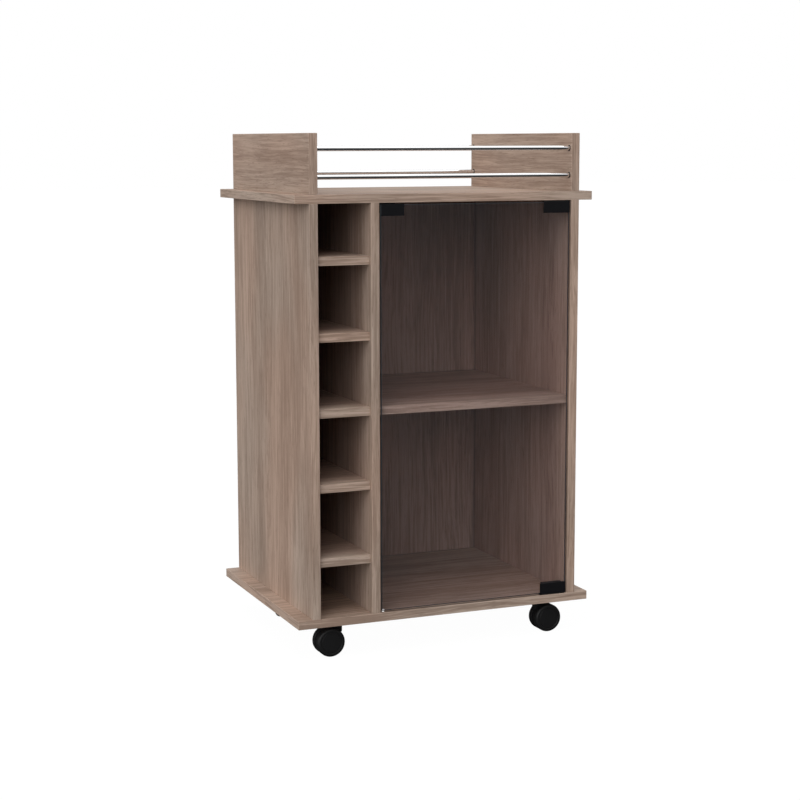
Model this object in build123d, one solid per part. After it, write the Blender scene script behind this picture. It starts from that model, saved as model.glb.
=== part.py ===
from build123d import *
import os

# A bar cabinet on casters: a bottle rack and a glass-fronted cupboard between a base and a top,
# with a railed tray above. Millimetres, +Z up, front towards -Y.
# The origin is on the floor under the middle of the cabinet.

# ---- Overall sizes ----
overall_width = 548.6
overall_depth = 415.0
overall_height = 889.0

# ---- Boards ----
board = 15.0
side_overhang = 25.3
arris = 0.5
gallery_height = 100.0
rack_width = 93.5
bottle_shelf_count = 5
bottle_shelf_pitch = 127.5
bottle_shelf_recess = 7.5
middle_shelf_recess = 9.5
shelf_side_gap = 0.5

# ---- Back panel ----
back_thickness = 3.0
back_inset = 14.5
groove_depth = 6.0
groove_gap = 0.15
groove_end_gap = 0.5
behind_shelf_gap = 0.5

# ---- Gallery rails ----
rail_radius = 4.0
rail_gap = 0.05
rail_inset = 10.5
lower_rail_height = 28.0
upper_rail_height = 74.4
rail_in_board = 8.0
socket_wall = 1.0
socket_flange_radius = 5.2
socket_flange = 0.8

# ---- Glass door ----
glass_thickness = 4.0
glass_setback = 1.5
door_gap = 3.0
glass_arris = 0.6

# ---- Pivot hinges ----
clip_width = 50.5
clip_height = 20.5
clip_floor = 1.8
clip_body = 7.0
clip_body_inset = 6.5
clip_arris = 0.4
pad_thickness = 1.0
pad_margin = 2.0
pivot_from_glass_end = 4.0
pin_radius = 1.5
pin_gap = 0.05
pin_in_bushing = 8.0
bushing_wall = 0.8
bushing_length = 10.0
bushing_flange = 0.8
bushing_flange_radius = 2.9
set_screw_radius = 2.0
set_screw_pitch = 14.0

# ---- Strike and touch latch ----
strike_width = 41.0
strike_height = 20.0
strike_sheet = 1.2
strike_inset = 1.0
latch_width = 18.0
latch_height = 19.0
latch_length = 55.0
latch_behind_strike = 7.8
latch_ear_width = 10.0
latch_ear_thickness = 3.0
latch_ear_length = 14.0
latch_end_wall = 3.0
latch_rounding = 2.0
latch_ear_rounding = 3.0
plunger_radius = 4.5
plunger_length = 32.0
plunger_gap = 0.08
magnet_thickness = 2.5
magnet_radius = 4.0
magnet_to_strike = 0.3
spring_wire = 0.6
spring_turns = 7

# ---- Door stop ----
stop_radius = 2.0
stop_height = 4.5
stop_peg_radius = 1.5
stop_peg_length = 6.0
stop_from_divider = 7.5
stop_to_glass = 0.3

# ---- Fixings ----
fixing_gap = 0.05
hole_end_gap = 0.5
panel_dowel_radius = 4.0
panel_dowel_length = 30.0
panel_dowel_in_flat = 11.0
panel_dowel_inset = 87.5
gallery_dowel_spread = 60.0
panel_screw_radius = 2.5
panel_screw_length = 50.0
panel_screw_head_radius = 5.0
panel_screw_head = 2.5
panel_screw_inset = 35.5
shelf_dowel_radius = 3.0
shelf_dowel_length = 24.0
shelf_dowel_in_side = 10.0
shelf_dowel_from_panel_dowel = 25.0
shelf_pin_radius = 2.5
shelf_pin_in_side = 9.0
shelf_pin_reach = 9.0
shelf_pin_inset = 45.0
shelf_pad = 1.6
shelf_pad_width = 9.0
pan_screw_radius = 1.75
pan_screw_length = 11.0
pan_screw_head_radius = 3.2
pan_screw_head = 1.8
drive_slot_half = 0.45
drive_reach = 2.0

# ---- Casters ----
caster_over_wheel = 9.0
wheel_radius = 25.0
wheel_width = 12.0
wheel_rounding = 4.0
wheel_dish_radius = 15.5
wheel_dish_depth = 1.2
wheel_inner_rounding = 1.0
wheel_bore_depth = 9.0
web_thickness = 8.0
web_to_wheel = 0.5
web_radius = 22.5
web_floor_clearance = 9.0
arm_rounding = 3.0
trail = 14.7
stem_radius = 4.0
stem_length = 11.0
stem_wall = 1.5
stem_flange_radius = 9.5
stem_flange = 1.5
stem_end_gap = 0.5
neck_radius = 9.0
neck_gap = 0.3
neck_to_wheel = 1.0
kingpin_radius = 2.5
kingpin_length = 18.5
axle_radius = 3.0
axle_end_gap = 0.5
running_gap = 0.05
seat_gap = 0.02
caster_inset_x = 81.0
front_caster_inset = 35.5
rear_caster_inset = 90.0

# ---- Levels and faces that follow from the sizes above ----
caster_height = 2 * wheel_radius + caster_over_wheel
front = -overall_depth / 2
back = overall_depth / 2
base_top = caster_height + board
tray = overall_height - gallery_height
top_under = tray - board
side_outer = overall_width / 2 - side_overhang
side_inner = side_outer - board
divider_left = -side_inner + rack_width
divider_right = divider_left + board
back_rear = back - back_inset
back_front = back_rear - back_thickness
shelf_rear = back_front - behind_shelf_gap
mid_height = (base_top + top_under) / 2
glass_front = front + glass_setback
glass_back = glass_front + glass_thickness
glass_left = divider_right + door_gap
glass_right = side_inner - door_gap
glass_bottom = base_top + door_gap
glass_top = top_under - door_gap
body_front = glass_back + pad_thickness
body_back = body_front + clip_body
pivot_x = glass_right - pivot_from_glass_end
pivot_y = (glass_front + glass_back) / 2
axle_height = wheel_radius
wheel_start = web_thickness / 2 + web_to_wheel
stem_socket_under = caster_height - stem_flange
stem_socket_radius = stem_radius + stem_wall
stem_socket_depth = stem_length + stem_end_gap
neck_top = stem_socket_under - neck_gap
kingpin_bottom = stem_socket_under - kingpin_length


def block(x_limits, y_limits, z_limits):
    """A box between two limits along each axis."""
    limits = (x_limits, y_limits, z_limits)
    size = [max(pair) - min(pair) for pair in limits]
    middle = [(pair[0] + pair[1]) / 2 for pair in limits]
    return Pos(*middle) * Box(*size)


def plank(x_limits, y_limits, z_limits):
    """A board with every arris eased."""
    solid = block(x_limits, y_limits, z_limits)
    return chamfer(solid.edges(), arris)


def rod(start, direction, radius, length):
    """A cylinder that starts at a point and runs along a direction."""
    plane = Plane(origin=start, z_dir=direction)
    return plane * Cylinder(radius, length, align=(Align.CENTER, Align.CENTER, Align.MIN))


def one_or_group(solids):
    """A single solid as it is, and several as one group."""
    return solids[0] if len(solids) == 1 else Compound(children=solids)


def save(node, *solids):
    """Write one node's STEP file."""
    export_step(one_or_group(list(solids)), "parts/" + node + ".step")


# ---- Places of the fixings ----

panel_middles = {
    "left": -side_inner - board / 2,
    "divider": divider_left + board / 2,
    "right": side_inner + board / 2,
}
bottle_shelf_middles = [
    mid_height + (index - (bottle_shelf_count - 1) / 2) * bottle_shelf_pitch
    for index in reversed(range(bottle_shelf_count))
]
panel_screw_spread = back - panel_screw_inset
panel_dowel_spread = back - panel_dowel_inset
shelf_dowel_spread = panel_dowel_spread - shelf_dowel_from_panel_dowel
shelf_pin_rows = (front + middle_shelf_recess + shelf_pin_inset, shelf_rear - shelf_pin_inset)
middle_shelf_under = mid_height - board / 2
rail_levels = (tray + lower_rail_height, tray + upper_rail_height)
rail_rows = (front + rail_inset, back - rail_inset)


def panel_dowel_spots():
    """Start and direction of each dowel that joins an upright to a flat board."""
    spots = []
    for x in panel_middles.values():
        for y in (-panel_dowel_spread, panel_dowel_spread):
            spots.append(((x, y, base_top - panel_dowel_in_flat), (0, 0, 1)))
            spots.append(((x, y, top_under + panel_dowel_in_flat), (0, 0, -1)))
    for x in (panel_middles["left"], panel_middles["right"]):
        for y in (-gallery_dowel_spread, 0, gallery_dowel_spread):
            spots.append(((x, y, tray - panel_dowel_in_flat), (0, 0, 1)))
    return spots


def panel_screw_spots():
    """Head's outer face and direction of each long screw."""
    spots = []
    for name, x in panel_middles.items():
        for y in (-panel_screw_spread, panel_screw_spread):
            spots.append(((x, y, caster_height), (0, 0, 1)))
            if name != "divider":
                spots.append(((x, y, tray), (0, 0, -1)))
    return spots


def shelf_dowel_spots():
    """Start and direction of each dowel at the ends of the bottle shelves."""
    spots = []
    for z in bottle_shelf_middles:
        for y in (-shelf_dowel_spread, shelf_dowel_spread):
            spots.append(((-side_inner - shelf_dowel_in_side, y, z), (1, 0, 0)))
            spots.append(((divider_left + shelf_dowel_in_side, y, z), (-1, 0, 0)))
    return spots


def shelf_pin_spots():
    """Face of the upright and direction of each pin under the middle shelf."""
    z = middle_shelf_under - shelf_pad - shelf_pin_radius
    return [
        ((x, y, z), (outwards, 0, 0))
        for x, outwards in ((divider_right, 1), (side_inner, -1))
        for y in shelf_pin_rows
    ]


def caster_spots():
    """Name, swivel axis and heading of each caster; the heading points from the swivel to the axle."""
    x = overall_width / 2 - caster_inset_x
    y_front = front + front_caster_inset
    y_rear = back - rear_caster_inset
    return [
        ("front_left", -x, y_front, 180.0),
        ("front_right", x, y_front, 0.0),
        ("rear_left", -x, y_rear, 270.0),
        ("rear_right", x, y_rear, 270.0),
    ]


def latch_screw_spots():
    """Each touch latch screw's place under the top panel."""
    reach = latch_width / 2 + latch_ear_width / 2
    return [(latch_x - reach, latch_ear_y), (latch_x + reach, latch_ear_y)]


# ---- Holes that the boards share ----


def blind_holes(spots, radius, length):
    """Holes for pegs of one length, each with a little room at its ends and round it."""
    holes = []
    for start, direction in spots:
        away = [value - hole_end_gap * way for value, way in zip(start, direction)]
        holes.append(rod(away, direction, radius + fixing_gap, length + 2 * hole_end_gap))
    return holes


def panel_screw(start, direction, gap=0.0):
    """A countersunk wood screw, or its hole when a gap is given."""
    shank = rod(start, direction, panel_screw_radius + gap, panel_screw_length + gap)
    plane = Plane(origin=start, z_dir=direction)
    middle = (Align.CENTER, Align.CENTER, Align.MIN)
    head = plane * Cone(
        panel_screw_head_radius + gap, panel_screw_radius + gap, panel_screw_head, align=middle
    )
    return shank + head


def screw_holes():
    """The holes of the long panel screws."""
    return [panel_screw(start, way, fixing_gap) for start, way in panel_screw_spots()]


def groove(x_limits, z_limits):
    """A groove that the back panel's edge slides into."""
    y_limits = (back_front - groove_gap, back_rear + groove_gap)
    return block(x_limits, y_limits, z_limits)


def cut(solid, tools):
    """A solid less every tool that reaches it."""
    limits = solid.bounding_box()
    for tool in tools:
        reach = tool.bounding_box()
        apart = any(
            low_a >= high_b or low_b >= high_a
            for low_a, high_a, low_b, high_b in zip(limits.min, limits.max, reach.min, reach.max)
        )
        if not apart:
            solid = solid - tool
    return solid


# ---- Sizes of the latch that its neighbours use ----

strike_left = glass_left + strike_inset
strike_right = strike_left + strike_width
strike_top = glass_top + strike_sheet
strike_bottom = strike_top - strike_height
strike_back = glass_back + strike_sheet
latch_x = strike_left + strike_width / 2
latch_front = strike_back + latch_behind_strike
latch_back = latch_front + latch_length
latch_ear_y = latch_front + latch_length / 2
magnet_front = strike_back + magnet_to_strike
plunger_front = magnet_front + magnet_thickness
plunger_back = plunger_front + plunger_length
plunger_z = (strike_bottom + glass_top) / 2

stop_x = divider_right + stop_from_divider
stop_y = glass_back + stop_to_glass + stop_radius
bushing_radius = pin_radius + pin_gap + bushing_wall
socket_radius = rail_radius + rail_gap + socket_wall


def pivot_axis(z):
    """The door's pivot at a height."""
    return (pivot_x, pivot_y, z)


def bushing_holes():
    """Holes for the pivot bushings in the base and the top."""
    depth = bushing_length + hole_end_gap
    radius = bushing_radius + fixing_gap
    lower = rod(pivot_axis(base_top), (0, 0, -1), radius, depth)
    upper = rod(pivot_axis(top_under), (0, 0, 1), radius, depth)
    return [lower, upper]


def fixing_holes():
    """Every hole that a board can hold."""
    holes = blind_holes(panel_dowel_spots(), panel_dowel_radius, panel_dowel_length)
    holes += blind_holes(shelf_dowel_spots(), shelf_dowel_radius, shelf_dowel_length)
    holes += screw_holes()
    holes += bushing_holes()
    for face, outwards in shelf_pin_spots():
        inwards = tuple(-value for value in outwards)
        depth = shelf_pin_in_side + hole_end_gap
        holes.append(rod(face, inwards, shelf_pin_radius + fixing_gap, depth))
    for _, x, y, _ in caster_spots():
        depth = stem_socket_depth + hole_end_gap
        holes.append(rod((x, y, caster_height), (0, 0, 1), stem_socket_radius + fixing_gap, depth))
    for x, y in latch_screw_spots():
        depth = pan_screw_length + hole_end_gap - latch_ear_thickness
        holes.append(rod((x, y, top_under), (0, 0, 1), pan_screw_radius + fixing_gap, depth))
    stop_start = (stop_x, stop_y, base_top)
    stop_depth = stop_peg_length + hole_end_gap
    holes.append(rod(stop_start, (0, 0, -1), stop_peg_radius + fixing_gap, stop_depth))
    for side in (-1, 1):
        for y in rail_rows:
            for z in rail_levels:
                depth = rail_in_board + hole_end_gap
                holes.append(
                    rod((side * side_inner, y, z), (side, 0, 0), socket_radius + fixing_gap, depth)
                )
    return holes


# ---- Carcass ----


def make_boards():
    """The boards of the carcass, with their holes and grooves."""
    width = (-overall_width / 2, overall_width / 2)
    depth = (front, back)
    upright = (base_top, top_under)
    rack = (-side_inner, divider_left)
    cupboard = (divider_right + shelf_side_gap, side_inner - shelf_side_gap)
    behind = (-side_inner - groove_depth, side_inner + groove_depth)
    boards = {
        "base_panel": plank(width, depth, (caster_height, base_top)),
        "top_panel": plank(width, depth, (top_under, tray)),
        "left_side_panel": plank((-side_outer, -side_inner), depth, upright),
        "right_side_panel": plank((side_inner, side_outer), depth, upright),
        "divider_panel": plank((divider_left, divider_right), (front, shelf_rear), upright),
        "gallery_panel_left": plank((-side_outer, -side_inner), depth, (tray, overall_height)),
        "gallery_panel_right": plank((side_inner, side_outer), depth, (tray, overall_height)),
        "middle_shelf": plank(
            cupboard,
            (front + middle_shelf_recess, shelf_rear),
            (middle_shelf_under, middle_shelf_under + board),
        ),
    }
    for number, z in enumerate(bottle_shelf_middles, start=1):
        name = "bottle_shelf_" + str(number)
        z_limits = (z - board / 2, z + board / 2)
        boards[name] = plank(rack, (front + bottle_shelf_recess, shelf_rear), z_limits)
    grooves = {
        "base_panel": groove(behind, (base_top - groove_depth, base_top)),
        "top_panel": groove(behind, (top_under, top_under + groove_depth)),
        "left_side_panel": groove((-side_inner - groove_depth, -side_inner), upright),
        "right_side_panel": groove((side_inner, side_inner + groove_depth), upright),
    }
    holes = fixing_holes()
    for name, solid in boards.items():
        tools = holes + ([grooves[name]] if name in grooves else [])
        boards[name] = cut(solid, tools)
    return boards


def make_back_panel():
    """The thin back, held in its grooves on all four sides."""
    reach = groove_depth - groove_end_gap
    return block(
        (-side_inner - reach, side_inner + reach),
        (back_front, back_rear),
        (base_top - reach, top_under + reach),
    )


# ---- Gallery rails ----


def make_rail(y, z):
    """One rail from board to board, with eased ends."""
    length = 2 * (side_inner + rail_in_board)
    rail = rod((-length / 2, y, z), (1, 0, 0), rail_radius, length)
    ends = rail.faces().filter_by(Axis.X).edges()
    return chamfer(ends, arris)


def make_rail_sockets(side):
    """The four plastic sockets of one gallery board: a sleeve in the board with a flange on its face."""
    outwards = Axis((0, 0, 0), (side, 0, 0))
    sockets = []
    for y in rail_rows:
        for z in rail_levels:
            face = (side * side_inner, y, z)
            sleeve = rod(face, (side, 0, 0), socket_radius, rail_in_board)
            flange = rod(face, (-side, 0, 0), socket_flange_radius, socket_flange)
            flange = fillet(flange.faces().sort_by(outwards)[0].edges(), arris)
            mouth = (side * (side_inner - socket_flange), y, z)
            bore_length = socket_flange + rail_in_board
            bore = rod(mouth, (side, 0, 0), rail_radius + rail_gap, bore_length)
            sockets.append(sleeve + flange - bore)
    return sockets


# ---- Door ----


def make_glass():
    """The door's tempered glass with ground edges."""
    glass = block((glass_left, glass_right), (glass_front, glass_back), (glass_bottom, glass_top))
    return chamfer(glass.edges(), glass_arris)


def clip_limits(lower):
    """A hinge clip's extent, with its floor beyond the glass's edge."""
    x_limits = (glass_right - clip_width, glass_right)
    if lower:
        bottom = glass_bottom - clip_floor
        return x_limits, (bottom, bottom + clip_height), (bottom, glass_bottom)
    top = glass_top + clip_floor
    return x_limits, (top - clip_height, top), (glass_top, top)


def set_screw_spots(lower):
    """Where a clip's set screws stand, either side of its middle."""
    x_limits, z_limits, _ = clip_limits(lower)
    middle = (x_limits[0] + x_limits[1]) / 2
    z = (z_limits[0] + z_limits[1]) / 2
    return [(middle + side * set_screw_pitch / 2, z) for side in (-1, 1)]


def make_clip(lower):
    """A hinge clip: a front plate, a floor past the glass's edge and a shorter, thick body behind it."""
    x_limits, z_limits, floor = clip_limits(lower)
    whole = block(x_limits, (front, body_back), z_limits)
    whole = chamfer(whole.edges(), clip_arris)
    inside_z = (floor[1], z_limits[1] + board) if lower else (z_limits[0] - board, floor[0])
    wide = (x_limits[0] - board, x_limits[1] + board)
    clip = whole - block(wide, (glass_front, body_front), inside_z)
    behind = (glass_back, body_back + board)
    clip = clip - block((wide[0], x_limits[0] + clip_body_inset), behind, z_limits)
    clip = clip - block((x_limits[1] - clip_body_inset, wide[1]), behind, z_limits)
    clip = clip - rod(pivot_axis(floor[0]), (0, 0, 1), pin_radius + seat_gap, clip_floor)
    for x, z in set_screw_spots(lower):
        hole = rod((x, body_front, z), (0, 1, 0), set_screw_radius + fixing_gap, clip_body)
        clip = clip - hole
    return clip


def make_pin(lower):
    """A pivot pin from the floor of its clip to inside its bushing."""
    _, _, floor = clip_limits(lower)
    if lower:
        ends = (base_top - pin_in_bushing, floor[1])
    else:
        ends = (floor[0], top_under + pin_in_bushing)
    pin = rod(pivot_axis(ends[0]), (0, 0, 1), pin_radius, ends[1] - ends[0])
    return chamfer(pin.faces().filter_by(Axis.Z).edges(), clip_arris)


def make_bushing(lower):
    """A flanged bushing in the base or the top that a pivot pin turns in."""
    face = base_top if lower else top_under
    inwards = -1 if lower else 1
    sleeve = rod(pivot_axis(face), (0, 0, inwards), bushing_radius, bushing_length)
    flange = rod(pivot_axis(face), (0, 0, -inwards), bushing_flange_radius, bushing_flange)
    mouth = pivot_axis(face - inwards * bushing_flange)
    bore_length = bushing_flange + pin_in_bushing + hole_end_gap
    bore = rod(mouth, (0, 0, inwards), pin_radius + pin_gap, bore_length)
    return sleeve + flange - bore


def make_pad(lower):
    """A rubber pad between the glass and a clip's body."""
    x_limits, z_limits, floor = clip_limits(lower)
    high = z_limits[1] - pad_margin if lower else floor[0]
    low = floor[1] if lower else z_limits[0] + pad_margin
    inset = clip_body_inset + pad_margin
    wide = (x_limits[0] + inset, x_limits[1] - inset)
    return block(wide, (glass_back, body_front), (low, high))


def make_set_screws():
    """The socket set screws that press both pads on the glass."""
    screws = []
    for lower in (True, False):
        for x, z in set_screw_spots(lower):
            screw = rod((x, body_front, z), (0, 1, 0), set_screw_radius, clip_body - clip_arris)
            mouth = Plane(origin=(x, body_back - clip_arris, z), z_dir=(0, -1, 0))
            socket = extrude(mouth * RegularPolygon(set_screw_radius / 2, 6), set_screw_radius)
            screws.append(screw - socket)
    return screws


def make_strike():
    """The strike: a folded steel clip over the glass's top corner."""
    whole = block(
        (strike_left, strike_right),
        (glass_front - strike_sheet, strike_back),
        (strike_bottom, strike_top),
    )
    uprights = whole.edges().filter_by(Axis.Y)
    whole = fillet(uprights, strike_sheet / 2)
    wide = (strike_left - board, strike_right + board)
    return whole - block(wide, (glass_front, glass_back), (strike_bottom - board, glass_top))


# ---- Touch latch ----


def make_latch_body():
    """The latch's housing: a bored block with an ear each side, under the top panel."""
    reach = latch_width / 2 + latch_ear_width
    housing = block(
        (latch_x - latch_width / 2, latch_x + latch_width / 2),
        (latch_front, latch_back),
        (top_under - latch_height, top_under),
    )
    housing = fillet(housing.edges().filter_by(Axis.Y).group_by(Axis.Z)[0], latch_rounding)
    ears = block(
        (latch_x - reach, latch_x + reach),
        (latch_ear_y - latch_ear_length / 2, latch_ear_y + latch_ear_length / 2),
        (top_under - latch_ear_thickness, top_under),
    )
    ears = fillet(ears.edges().filter_by(Axis.Z), latch_ear_rounding)
    body = housing + ears
    bore_length = latch_length - latch_end_wall
    body = body - rod(
        (latch_x, latch_front, plunger_z), (0, 1, 0), plunger_radius + plunger_gap, bore_length
    )
    for x, y in latch_screw_spots():
        start = (x, y, top_under - latch_ear_thickness)
        body = body - rod(
            start, (0, 0, 1), pan_screw_radius + fixing_gap, latch_ear_thickness
        )
    return body


def make_plunger():
    """The latch's plunger, which slides out towards the door."""
    start = (latch_x, plunger_front, plunger_z)
    plunger = rod(start, (0, 1, 0), plunger_radius, plunger_length)
    return chamfer(plunger.faces().filter_by(Axis.Y).edges(), arris)


def make_magnet():
    """The magnet on the plunger's nose."""
    return rod((latch_x, magnet_front, plunger_z), (0, 1, 0), magnet_radius, magnet_thickness)


def make_latch_spring():
    """The spring that drives the plunger out, between the plunger and the housing's end wall."""
    space = latch_back - latch_end_wall - plunger_back
    length = space - 2 * spring_wire
    radius = plunger_radius - spring_wire
    helix = Helix(length / spring_turns, length, radius)
    helix = Plane(
        origin=(latch_x, plunger_back + spring_wire, plunger_z), z_dir=(0, 1, 0)
    ) * helix
    section = Plane(origin=helix @ 0, z_dir=helix % 0) * Circle(spring_wire / 2)
    return sweep(section, path=helix, is_frenet=True)


# ---- Fixings ----


def cross_slots(x, y, z_limits):
    """The crossed slots that a driver turns a screw by."""
    pairs = ((drive_reach, drive_slot_half), (drive_slot_half, drive_reach))
    return [block((x - wide, x + wide), (y - deep, y + deep), z_limits) for wide, deep in pairs]


def make_panel_screws():
    """Every long screw, with a cross in its head."""
    screws = []
    for start, way in panel_screw_spots():
        x, y, z = start
        depth = panel_screw_head / 2
        screws.append(panel_screw(start, way) - cross_slots(x, y, (z - depth, z + depth)))
    return screws


def make_pan_screw(x, y, seat):
    """A short pan-head screw driven upwards, its head under a seat."""
    shank = rod((x, y, seat), (0, 0, 1), pan_screw_radius, pan_screw_length)
    head = rod((x, y, seat), (0, 0, -1), pan_screw_head_radius, pan_screw_head)
    head = fillet(head.faces().sort_by(Axis.Z)[0].edges(), pan_screw_head / 2)
    slot_limits = (seat - pan_screw_head, seat - pan_screw_head / 2)
    return shank + head - cross_slots(x, y, slot_limits)


def make_shelf_pins():
    """The pins under the middle shelf, each with a flat pad under the board."""
    pins = []
    for face, outwards in shelf_pin_spots():
        way = outwards[0]
        start = (face[0] - way * shelf_pin_in_side, face[1], face[2])
        pin = rod(start, outwards, shelf_pin_radius, shelf_pin_in_side + shelf_pin_reach)
        pad = block(
            (face[0] + way * shelf_side_gap, face[0] + way * shelf_pin_reach),
            (face[1] - shelf_pad_width / 2, face[1] + shelf_pad_width / 2),
            (face[2], middle_shelf_under),
        )
        pins.append(pin + pad)
    return pins


def make_door_stop():
    """The nylon stud behind the glass's lower corner."""
    head = rod((stop_x, stop_y, base_top), (0, 0, 1), stop_radius, stop_height)
    head = fillet(head.faces().sort_by(Axis.Z)[-1].edges(), stop_radius / 2)
    peg = rod((stop_x, stop_y, base_top), (0, 0, -1), stop_peg_radius, stop_peg_length)
    return head + peg


# ---- Casters, built at the swivel axis with the axle towards +X ----


def make_stem_socket():
    """The socket pressed into the base: a sleeve with a flange under the board."""
    flange = rod((0, 0, stem_socket_under), (0, 0, 1), stem_flange_radius, stem_flange)
    flange = fillet(flange.faces().sort_by(Axis.Z)[0].edges(), stem_flange / 2)
    sleeve = rod((0, 0, caster_height), (0, 0, 1), stem_socket_radius, stem_socket_depth)
    bore_length = stem_flange + stem_socket_depth
    bore = rod((0, 0, stem_socket_under), (0, 0, 1), stem_radius + seat_gap, bore_length)
    return flange + sleeve - bore


def make_stem():
    """The stem held in the socket, with the thinner pin below it that the fork swivels on."""
    stem = rod((0, 0, stem_socket_under), (0, 0, 1), stem_radius, stem_flange + stem_length)
    stem = chamfer(stem.faces().sort_by(Axis.Z)[-1].edges(), arris)
    pin = rod((0, 0, kingpin_bottom), (0, 0, 1), kingpin_radius, kingpin_length)
    pin = chamfer(pin.faces().sort_by(Axis.Z)[0].edges(), arris)
    return stem + pin


def make_fork():
    """The swivelling web between the wheels, with the neck that hangs on the kingpin."""
    half = web_thickness / 2
    neck_bottom = 2 * wheel_radius + neck_to_wheel
    disc = rod((trail, -half, axle_height), (0, 1, 0), web_radius, web_thickness)
    arm_bottom = kingpin_bottom - arris
    arm = block((-neck_radius, trail), (-half, half), (arm_bottom, neck_bottom))
    arm_corner = arm.edges().filter_by(Axis.Y).group_by(Axis.Z)[0].sort_by(Axis.X)[0]
    arm = fillet(arm_corner, arm_rounding)
    neck = rod((0, 0, neck_bottom), (0, 0, 1), neck_radius, neck_top - neck_bottom)
    fork = disc + arm + neck
    below = block(
        (-2 * wheel_radius, trail + 2 * wheel_radius),
        (-wheel_radius, wheel_radius),
        (-wheel_radius, web_floor_clearance),
    )
    fork = fork - below
    bore_length = neck_top - kingpin_bottom
    fork = fork - rod((0, 0, kingpin_bottom), (0, 0, 1), kingpin_radius + running_gap, bore_length)
    bore_start = (trail, -half, axle_height)
    return fork - rod(bore_start, (0, 1, 0), axle_radius + seat_gap, web_thickness)


def make_axle():
    """The axle fixed in the fork, a wheel on each end."""
    half = wheel_start + wheel_bore_depth - axle_end_gap
    axle = rod((trail, -half, axle_height), (0, 1, 0), axle_radius, 2 * half)
    return chamfer(axle.faces().filter_by(Axis.Y).edges(), arris)


def make_wheel(side):
    """One wheel: a rounded tread, a dished outer face and a blind bore for the axle."""
    outwards = Axis((0, 0, 0), (0, side, 0))
    start = (trail, side * wheel_start, axle_height)
    wheel = rod(start, (0, side, 0), wheel_radius, wheel_width)
    wheel = fillet(wheel.faces().sort_by(outwards)[-1].edges(), wheel_rounding)
    wheel = fillet(wheel.faces().sort_by(outwards)[0].edges(), wheel_inner_rounding)
    face = (trail, side * (wheel_start + wheel_width), axle_height)
    dish = rod(face, (0, -side, 0), wheel_dish_radius, wheel_dish_depth)
    bore = rod(start, (0, side, 0), axle_radius + running_gap, wheel_bore_depth)
    return wheel - dish - bore


def save_casters():
    """Every caster, turned to its heading and set on its swivel axis."""
    stems = []
    for name, x, y, heading in caster_spots():
        place = Pos(x, y, 0) * Rot(0, 0, heading)
        prefix = "caster_" + name
        save(prefix + "_socket", Pos(x, y, 0) * make_stem_socket())
        save(prefix + "_fork", place * make_fork())
        save(prefix + "_axle", place * make_axle())
        save(prefix + "_wheel_a", place * make_wheel(-1))
        save(prefix + "_wheel_b", place * make_wheel(1))
        stems.append(Pos(x, y, 0) * make_stem())
    save("caster_stems", *stems)


def main():
    """Build every node and write its file."""
    os.makedirs("parts", exist_ok=True)
    for name, solid in make_boards().items():
        save(name, solid)
    save("back_panel", make_back_panel())
    for row, y in zip(("front", "rear"), rail_rows):
        for level, z in zip(("lower", "upper"), rail_levels):
            save(row + "_rail_" + level, make_rail(y, z))
    save("rail_sockets_left", *make_rail_sockets(-1))
    save("rail_sockets_right", *make_rail_sockets(1))
    save("glass_door", make_glass())
    save("hinge_clip_bottom", make_clip(True))
    save("hinge_clip_top", make_clip(False))
    save("hinge_pins", make_pin(True), make_pin(False))
    save("hinge_bushings", make_bushing(True), make_bushing(False))
    save("hinge_pads", make_pad(True), make_pad(False))
    save("hinge_set_screws", *make_set_screws())
    save("strike_clip", make_strike())
    save("touch_latch_body", make_latch_body())
    save("touch_latch_plunger", make_plunger())
    save("touch_latch_magnet", make_magnet())
    save("touch_latch_spring", make_latch_spring())
    ear_under = top_under - latch_ear_thickness
    save("touch_latch_screws", *[make_pan_screw(x, y, ear_under) for x, y in latch_screw_spots()])
    save("door_stop_stud", make_door_stop())
    save("shelf_pins", *make_shelf_pins())
    panel_dowels = [
        rod(start, way, panel_dowel_radius, panel_dowel_length) for start, way in panel_dowel_spots()
    ]
    save("panel_dowels", *panel_dowels)
    shelf_dowels = [
        rod(start, way, shelf_dowel_radius, shelf_dowel_length) for start, way in shelf_dowel_spots()
    ]
    save("bottle_shelf_dowels", *shelf_dowels)
    save("panel_screws", *make_panel_screws())
    save_casters()


main()
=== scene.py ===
import logging
import math
from dataclasses import dataclass, field
from enum import Enum
from typing import Iterable, Sequence

import bmesh
import bpy
from mathutils import Euler, Matrix, Vector


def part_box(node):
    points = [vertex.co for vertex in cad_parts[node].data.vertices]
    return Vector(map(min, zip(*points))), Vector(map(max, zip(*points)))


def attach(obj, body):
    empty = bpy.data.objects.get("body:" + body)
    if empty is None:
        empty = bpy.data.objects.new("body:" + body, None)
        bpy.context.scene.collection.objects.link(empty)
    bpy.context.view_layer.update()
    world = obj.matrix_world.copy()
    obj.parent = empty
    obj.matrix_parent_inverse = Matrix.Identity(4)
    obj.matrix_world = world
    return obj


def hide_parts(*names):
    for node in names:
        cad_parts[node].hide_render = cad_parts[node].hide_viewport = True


# A bar cabinet on casters: oak-print boards around a bottle rack and a glass-fronted cupboard,
# with chrome gallery rails over the top. Metres, +Z up, front towards -Y.

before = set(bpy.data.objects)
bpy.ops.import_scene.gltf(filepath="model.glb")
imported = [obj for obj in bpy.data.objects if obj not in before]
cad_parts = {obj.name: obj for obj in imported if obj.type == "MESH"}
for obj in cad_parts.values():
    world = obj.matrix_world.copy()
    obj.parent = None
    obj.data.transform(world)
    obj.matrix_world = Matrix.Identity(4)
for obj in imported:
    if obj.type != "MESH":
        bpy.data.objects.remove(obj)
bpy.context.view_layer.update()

LOG = logging.getLogger("bar_cabinet")

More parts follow.
